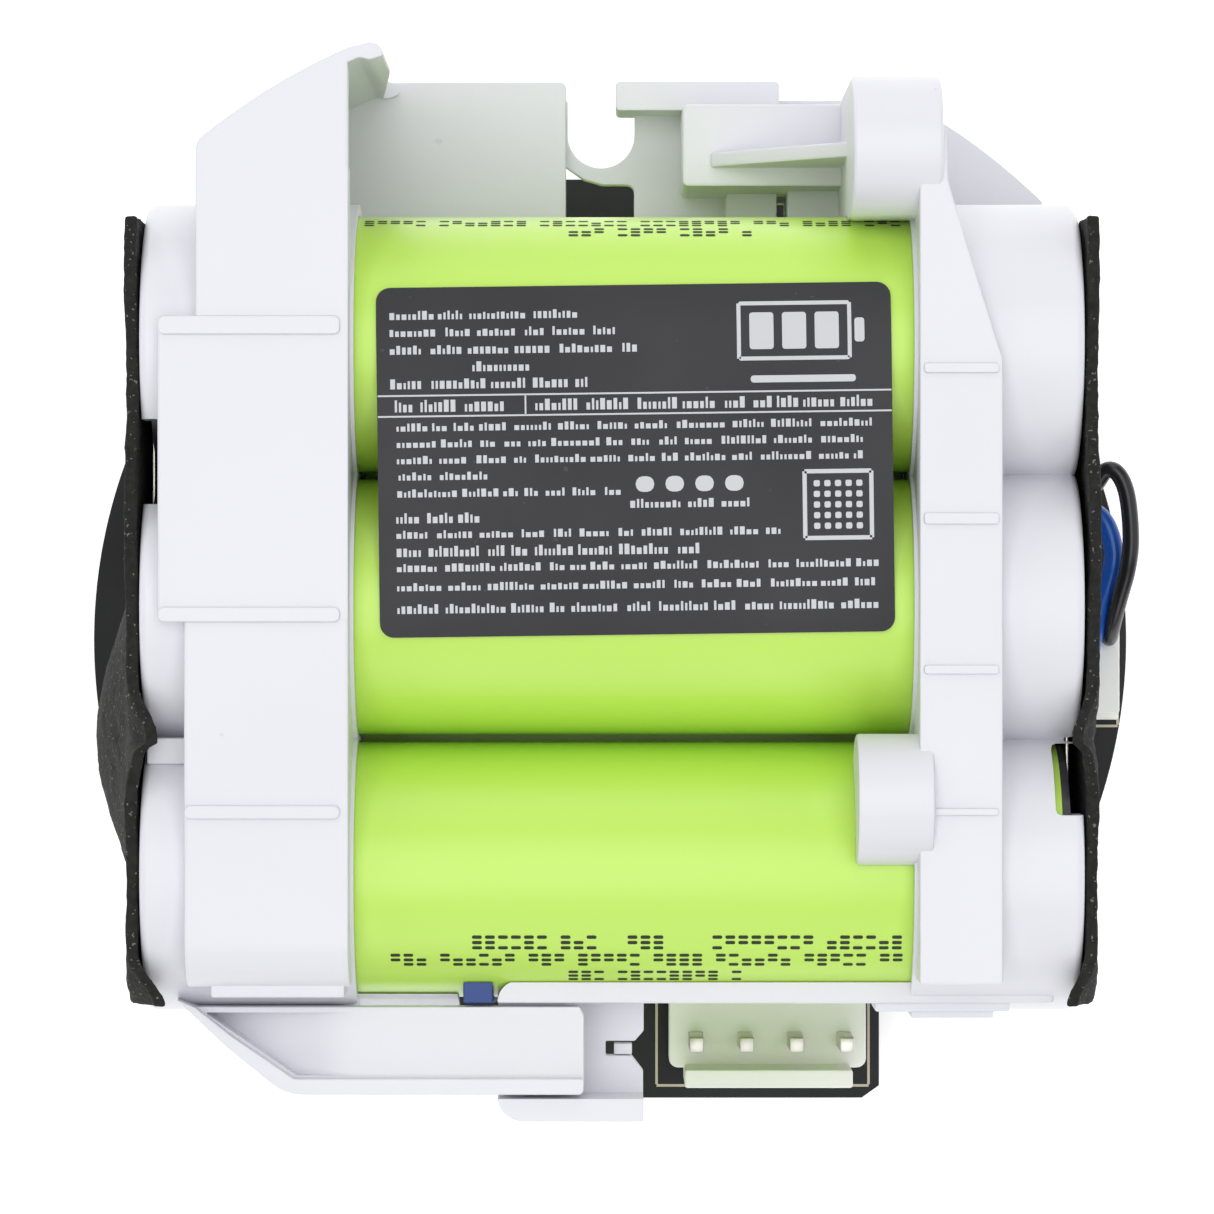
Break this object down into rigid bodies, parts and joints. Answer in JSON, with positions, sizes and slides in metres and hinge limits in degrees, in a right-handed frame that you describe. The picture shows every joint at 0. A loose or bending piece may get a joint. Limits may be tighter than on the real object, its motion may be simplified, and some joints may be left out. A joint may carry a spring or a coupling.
{
  "type": "lithium-ion battery pack",
  "caption": "Lithium-ion battery pack: cylindrical cells in two white moulded holders, with end foam pads, a printed label and a round protection board with an output header.",
  "frame": {"origin": "centre of the footprint on the plane of the four foot posts", "axes": "+X along the cells towards the holder with the screw boss, +Y towards the top wall with the hook and boss, +Z towards the labelled front"},
  "size_m": [0.0832, 0.0792, 0.0638],
  "materials": {
    "white_plastic": "satin moulded cool white plastic",
    "cell_sleeve": "glossy lime heat-shrink film",
    "cell_steel": "nickel-plated steel",
    "nickel": "bright nickel strip",
    "foam": "black open-cell foam sheet",
    "label_film": "charcoal printed film",
    "board": "black solder mask with cream lines",
    "header_plastic": "natural nylon",
    "tinned_pin": "tinned brass pin",
    "black_insulation": "black lead insulation",
    "blue_insulation": "blue lead insulation",
    "green_insulation": "green lead insulation",
    "screw_steel": "zinc-plated screw",
    "chip_plastic": "moulded black epoxy",
    "sensor_sleeve": "dark blue sleeve film"
  },
  "bodies": {
    "root": {"left_holder": "white_plastic", "right_holder": "white_plastic", "cell_1_sleeve": "cell_sleeve", "cell_1_can": "cell_steel", "cell_1_cap": "cell_steel", "cell_2_sleeve": "cell_sleeve", "cell_2_can": "cell_steel", "cell_2_cap": "cell_steel", "cell_3_sleeve": "cell_sleeve", "cell_3_can": "cell_steel", "cell_3_cap": "cell_steel", "cell_4_sleeve": "cell_sleeve", "cell_4_can": "cell_steel", "cell_4_cap": "cell_steel", "cell_5_sleeve": "cell_sleeve", "cell_5_can": "cell_steel", "cell_5_cap": "cell_steel", "cell_6_sleeve": "cell_sleeve", "cell_6_can": "cell_steel", "cell_6_cap": "cell_steel", "cell_7_sleeve": "cell_sleeve", "cell_7_can": "cell_steel", "cell_7_cap": "cell_steel", "cell_8_sleeve": "cell_sleeve", "cell_8_can": "cell_steel", "cell_8_cap": "cell_steel", "left_strip_1": "nickel", "left_strip_2": "nickel", "left_strip_3": "nickel", "left_strip_4": "nickel", "right_strip_1": "nickel", "right_strip_2": "nickel", "right_strip_3": "nickel", "negative_tab": "nickel", "positive_tab": "nickel", "left_foam_pad": "foam", "right_foam_pad": "foam", "label": "label_film", "protection_board": "board", "output_header": "header_plastic", "header_pin_1": "tinned_pin", "header_pin_2": "tinned_pin", "header_pin_3": "tinned_pin", "header_pin_4": "tinned_pin", "sense_header": "header_plastic", "lead_plug": "header_plastic", "black_lead": "black_insulation", "blue_lead": "blue_insulation", "green_lead": "green_insulation", "mosfet_1": "chip_plastic", "mosfet_2": "chip_plastic", "controller_chip": "chip_plastic", "current_shunt": "nickel", "left_upper_screw": "screw_steel", "left_lower_screw": "screw_steel", "right_upper_screw": "screw_steel", "right_lower_screw": "screw_steel", "thermistor": "sensor_sleeve"}
  },
  "joints": []
}
